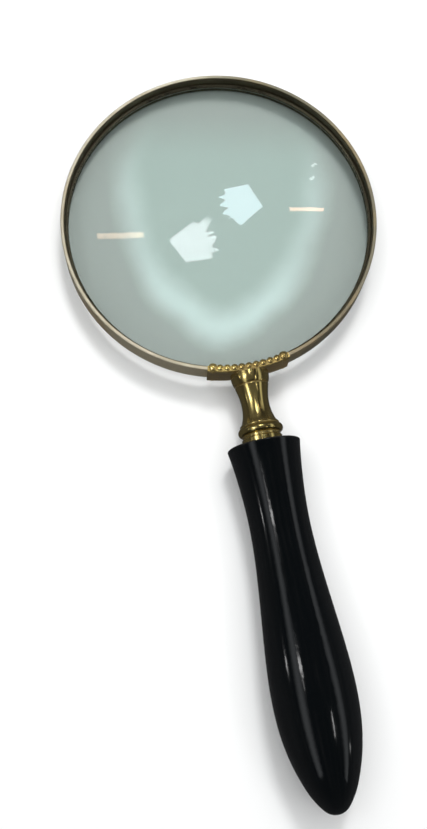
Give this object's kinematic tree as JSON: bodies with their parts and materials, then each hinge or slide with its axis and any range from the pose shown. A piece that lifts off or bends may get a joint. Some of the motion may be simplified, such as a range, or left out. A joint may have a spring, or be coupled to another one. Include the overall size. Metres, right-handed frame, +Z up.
{
  "type": "magnifying glass",
  "caption": "Hand magnifying glass: a large round lens in a flat brass band, with a turned brass ferrule and a turned black handle that unscrews.",
  "frame": {"origin": "on the table under the middle of the whole glass: the centre of the bottom of its bounding box, as it lies on its back", "axes": "+Y from the handle's tip towards the lens, along the length; +Z up, away from the table; +X to the right, seen from above with the lens at the top. The lens axis leans about 3 degrees from +Z towards +Y, because the handle is thicker than the band."},
  "size_m": [0.1028, 0.2394, 0.0288],
  "materials": {
    "lens_glass": "polished, faint grey-green",
    "band_brass": "aged, olive brown patina, edges rubbed bright",
    "spring_wire": "drawn wire, dull",
    "cast_brass": "cast and polished, bright on the beads",
    "screw_brass": "turned",
    "turned_brass": "lathe turned and polished, brown in the grooves",
    "steel": "rolled thread, light oil",
    "black_handle": "ebonised wood under high-gloss black lacquer"
  },
  "bodies": {
    "head": {"lens": "lens_glass", "rim_band": "band_brass", "front_retaining_ring": "spring_wire", "rear_retaining_ring": "spring_wire", "saddle": "cast_brass", "saddle_screw": "screw_brass", "ferrule": "turned_brass", "handle_stud": "steel"},
    "bush": {"handle_socket": "turned_brass"},
    "handle": {"grip": "black_handle"}
  },
  "joints": [
    {"name": "handle_travel", "type": "slide", "parent": "head", "child": "bush", "axis": [0, -0.9985, 0.0552], "range_m": [0, 0.01]},
    {"name": "handle_turn", "type": "hinge", "parent": "bush", "child": "handle", "pos_m": [0, -0.00763, 0.0115], "axis": [0, -0.9985, 0.0552], "range_deg": [0, 3600]}
  ],
  "couplings": [
    {"joint": "handle_turn", "follows": "handle_travel", "rad_per_m": 6283.2}
  ]
}
